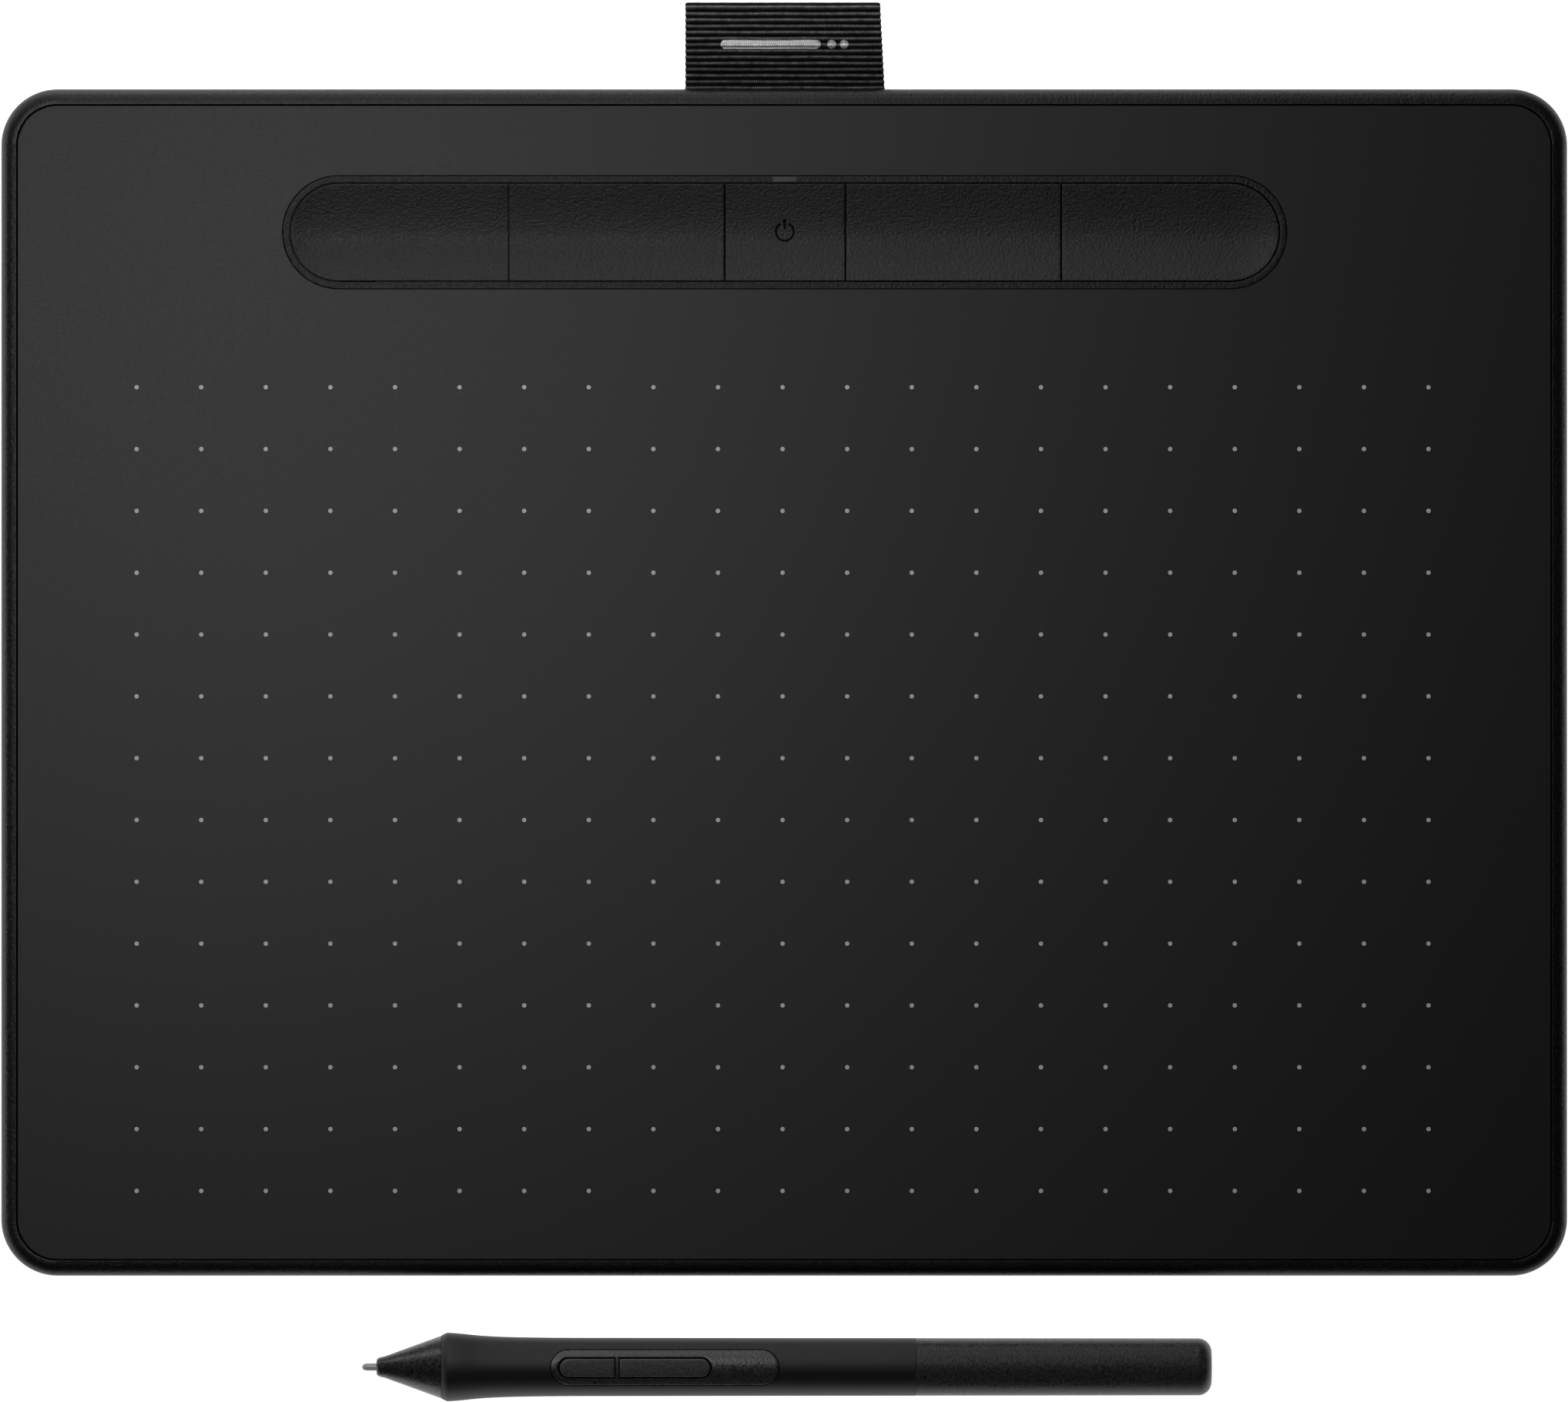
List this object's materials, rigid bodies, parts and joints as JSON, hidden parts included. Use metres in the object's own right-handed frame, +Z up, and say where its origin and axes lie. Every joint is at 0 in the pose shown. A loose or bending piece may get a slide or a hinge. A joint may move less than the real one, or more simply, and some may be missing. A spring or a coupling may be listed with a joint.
{
  "type": "pen drawing tablet",
  "caption": "Thin flat pen drawing tablet with a dished key row, a ribbed ribbon pen loop at the rear edge, and its cordless pen lying in front",
  "frame": {"origin": "on the desk, at the centre of the footprint that the tablet, its ribbon loop and the pen in front of it take up together; the tablet's own centre is at x = 0, y = +3.25 mm", "axes": "+X along the tablet's long edge to the user's right, +Y away from the user towards the ribbon loop, +Z up out of the drawing surface"},
  "size_m": [0.264, 0.2358, 0.0116],
  "materials": {
    "case_black": "fine grain, moulded",
    "sheet_black": "satin drawing surface",
    "key_black": "fine grain, moulded",
    "light_guide": "smoked, satin",
    "rubber_black": "matte",
    "ribbon_black": "ribbed ribbon, folded",
    "circuit_board": "solder mask, satin",
    "shield_steel": "thin rolled sheet",
    "screw_steel": "blackened zinc",
    "plated_steel": "nickel plated",
    "battery_foil": "pouch foil",
    "chip_black": "moulded epoxy",
    "copper_wire": "enamelled copper",
    "ferrite_grey": "sintered",
    "lead_red": "insulated wire",
    "ivory_plastic": "moulded",
    "flex_film": "polyimide film",
    "nib_grey": "smooth acetal",
    "pen_soft_black": "soft satin",
    "pen_grained_black": "fine grain, moulded"
  },
  "bodies": {
    "tablet": {"rim_frame": "case_black", "bottom_cover": "case_black", "loop_clamp": "case_black", "drawing_panel": "sheet_black", "key_surround": "key_black", "status_light_guide": "light_guide", "main_board": "circuit_board", "sensor_board": "circuit_board", "shield_plate": "shield_steel", "usb_socket": "plated_steel", "controller_chip": "chip_black", "status_led": "ivory_plastic", "ribbon_connector": "ivory_plastic", "battery_plug": "ivory_plastic", "sensor_ribbon": "flex_film", "battery": "battery_foil", "battery_lead": "lead_red", "pen_loop_root": "ribbon_black", "tact_switch_1": "plated_steel", "tact_switch_2": "plated_steel", "tact_switch_3": "plated_steel", "tact_switch_4": "plated_steel", "tact_switch_5": "plated_steel", "case_screw_1": "screw_steel", "case_screw_2": "screw_steel", "case_screw_3": "screw_steel", "case_screw_4": "screw_steel", "case_screw_5": "screw_steel", "case_screw_6": "screw_steel", "clamp_screw_1": "screw_steel", "clamp_screw_2": "screw_steel", "foot_rear_left": "rubber_black", "foot_rear_right": "rubber_black", "foot_front_left": "rubber_black", "foot_front_right": "rubber_black"},
    "pen": {"pen_barrel": "pen_soft_black", "pen_cone": "pen_grained_black", "pen_switch_bezel": "pen_grained_black", "pen_ferrite_core": "ferrite_grey", "pen_coil": "copper_wire", "pressure_sensor": "chip_black", "pen_board": "circuit_board", "pen_switch_lower": "plated_steel", "pen_switch_upper": "plated_steel", "pen_chassis": "ivory_plastic", "spare_nib_holder": "ivory_plastic", "spare_nib_1": "nib_grey", "spare_nib_2": "nib_grey", "spare_nib_3": "nib_grey"},
    "nib_clutch": {"nib_clutch": "ivory_plastic"},
    "nib": {"pen_nib": "nib_grey"},
    "rear_cap": {"pen_rear_cap": "pen_grained_black"},
    "lower_button": {"pen_button_lower": "pen_grained_black"},
    "upper_button": {"pen_button_upper": "pen_grained_black"},
    "loop": {"pen_loop": "ribbon_black"},
    "shortcut_key_1": {"shortcut_key_1": "key_black"},
    "shortcut_key_2": {"shortcut_key_2": "key_black"},
    "shortcut_key_3": {"shortcut_key_3": "key_black"},
    "shortcut_key_4": {"shortcut_key_4": "key_black"},
    "power_key": {"power_key": "key_black"}
  },
  "joints": [
    {"name": "shortcut_key_1_press", "type": "slide", "parent": "tablet", "child": "shortcut_key_1", "axis": [0, 0, -1], "range_m": [0, 0.0004], "stiffness_N_per_m": 3000},
    {"name": "shortcut_key_2_press", "type": "slide", "parent": "tablet", "child": "shortcut_key_2", "axis": [0, 0, -1], "range_m": [0, 0.0004], "stiffness_N_per_m": 3000},
    {"name": "power_key_press", "type": "slide", "parent": "tablet", "child": "power_key", "axis": [0, 0, -1], "range_m": [0, 0.0004], "stiffness_N_per_m": 3000},
    {"name": "shortcut_key_3_press", "type": "slide", "parent": "tablet", "child": "shortcut_key_3", "axis": [0, 0, -1], "range_m": [0, 0.0004], "stiffness_N_per_m": 3000},
    {"name": "shortcut_key_4_press", "type": "slide", "parent": "tablet", "child": "shortcut_key_4", "axis": [0, 0, -1], "range_m": [0, 0.0004], "stiffness_N_per_m": 3000},
    {"name": "pen_lift", "type": "slide", "parent": "tablet", "child": "pen", "axis": [0, 0, 1], "range_m": [0, 0.1]},
    {"name": "pen_lower_button_press", "type": "slide", "parent": "pen", "child": "lower_button", "axis": [-0.0078, 0, -1], "range_m": [0, 0.0003], "stiffness_N_per_m": 1500},
    {"name": "pen_upper_button_press", "type": "slide", "parent": "pen", "child": "upper_button", "axis": [-0.0078, 0, -1], "range_m": [0, 0.0003], "stiffness_N_per_m": 1500},
    {"name": "nib_press", "type": "slide", "parent": "pen", "child": "nib_clutch", "axis": [1, 0, -0.0078], "range_m": [0, 0.0005], "stiffness_N_per_m": 2000},
    {"name": "nib_pull_out", "type": "slide", "parent": "nib_clutch", "child": "nib", "axis": [-1, 0, 0.0078], "range_m": [0, 0.022]},
    {"name": "rear_cap_pull_off", "type": "slide", "parent": "pen", "child": "rear_cap", "axis": [1, 0, -0.0078], "range_m": [0, 0.055]},
    {"name": "loop_flex", "type": "hinge", "parent": "tablet", "child": "loop", "pos_m": [0, 0.10365, 0.00505], "axis": [1, 0, 0], "range_deg": [-12, 50], "stiffness_Nm_per_rad": 0.01}
  ]
}
